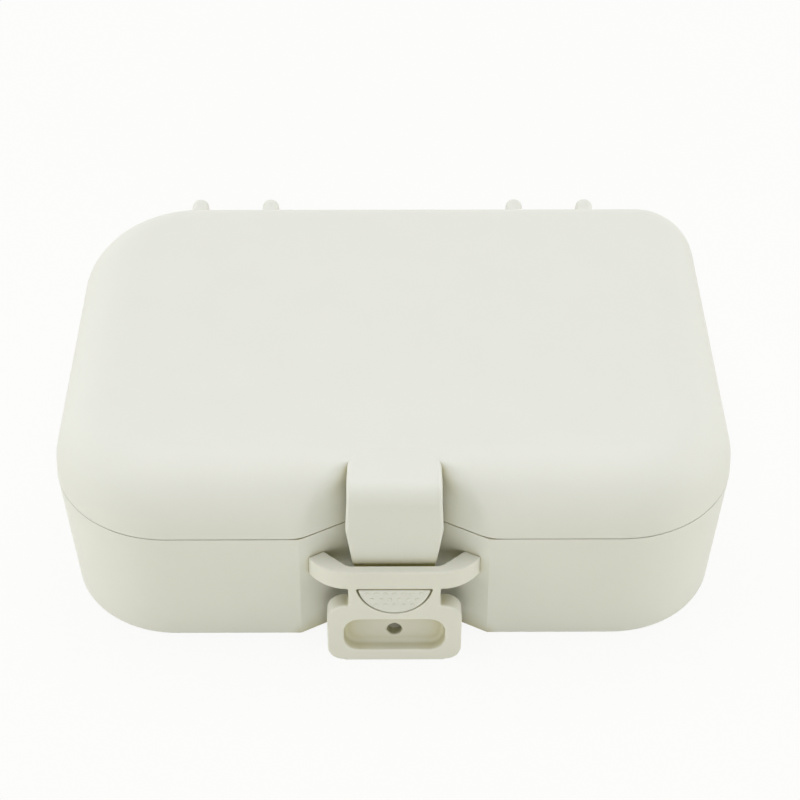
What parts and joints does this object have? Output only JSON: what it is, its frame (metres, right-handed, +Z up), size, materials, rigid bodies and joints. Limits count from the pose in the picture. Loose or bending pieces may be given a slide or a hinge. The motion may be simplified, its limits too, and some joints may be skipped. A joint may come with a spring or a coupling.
{
  "type": "denture case",
  "caption": "Small two-part plastic box for dentures, with rear pin hinges and a front push latch under a crescent band.",
  "frame": {"origin": "middle of the flat underside of the base tray", "axes": "+X to the right along the long side, +Y from the latch to the hinges, +Z up from the underside to the lid"},
  "size_m": [0.092, 0.075, 0.0293],
  "materials": {
    "shell": "satin",
    "keeper": "satin",
    "pin": "drawn"
  },
  "bodies": {
    "base": {"base_tray": "shell", "latch_keeper": "keeper"},
    "lid": {"lid": "shell", "hinge_pin_left": "pin", "hinge_pin_right": "pin"},
    "tongue": {"latch_tongue": "shell"}
  },
  "joints": [
    {"name": "lid_hinge", "type": "hinge", "parent": "base", "child": "lid", "pos_m": [0, 0.036, 0.0185], "axis": [-1, 0, 0], "range_deg": [0, 110]},
    {"name": "push_pad", "type": "hinge", "parent": "lid", "child": "tongue", "pos_m": [0, -0.03281, 0.025], "axis": [1, 0, 0], "range_deg": [0, 9], "stiffness_Nm_per_rad": 0.9}
  ]
}
